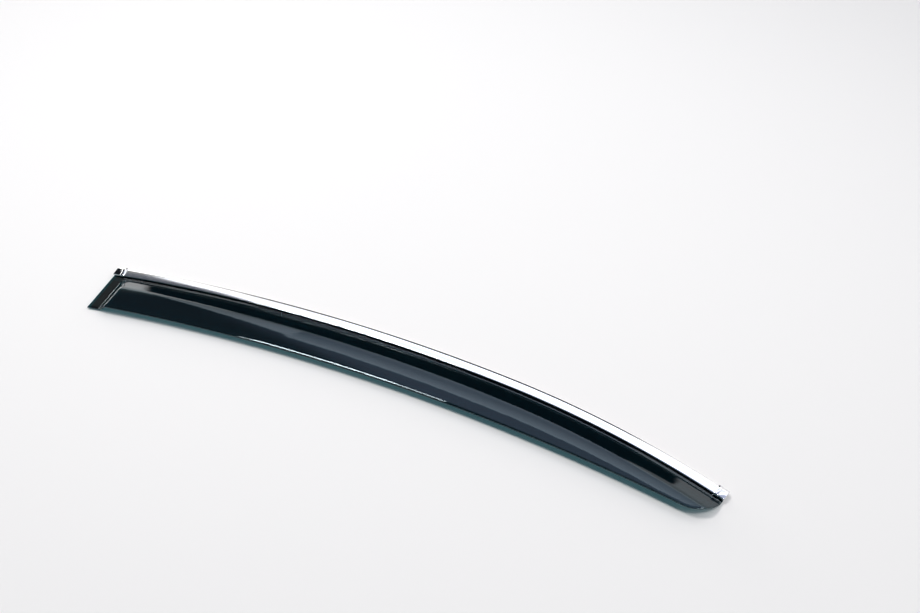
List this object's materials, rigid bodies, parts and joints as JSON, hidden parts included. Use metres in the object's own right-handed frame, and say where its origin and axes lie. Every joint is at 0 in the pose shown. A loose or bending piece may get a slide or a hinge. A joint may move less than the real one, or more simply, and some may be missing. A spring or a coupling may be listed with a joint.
{
  "type": "window rain deflector",
  "caption": "Stick-on side window rain deflector: curved smoked acrylic visor with a taped flange, end tab, round nose and a bright trim strip closed by end caps.",
  "frame": {"origin": "middle of the footprint, on the plane of the mounting tapes' backs", "axes": "+X along the deflector from the tab to the nose, +Y towards the trimmed flange, +Z out of the outer face"},
  "size_m": [0.8606, 0.1241, 0.0139],
  "materials": {
    "smoked_acrylic": "polished, see-through smoke tint",
    "bright_trim": "bright polished",
    "plated_cap": "bright plated",
    "foam_tape": "matt closed-cell foam"
  },
  "bodies": {
    "root": {"visor": "smoked_acrylic", "trim_strip": "bright_trim", "trim_cap_tab_end": "plated_cap", "trim_cap_nose_end": "plated_cap", "trim_bond_tape": "foam_tape", "frame_tape": "foam_tape", "tab_tape": "foam_tape"}
  },
  "joints": []
}
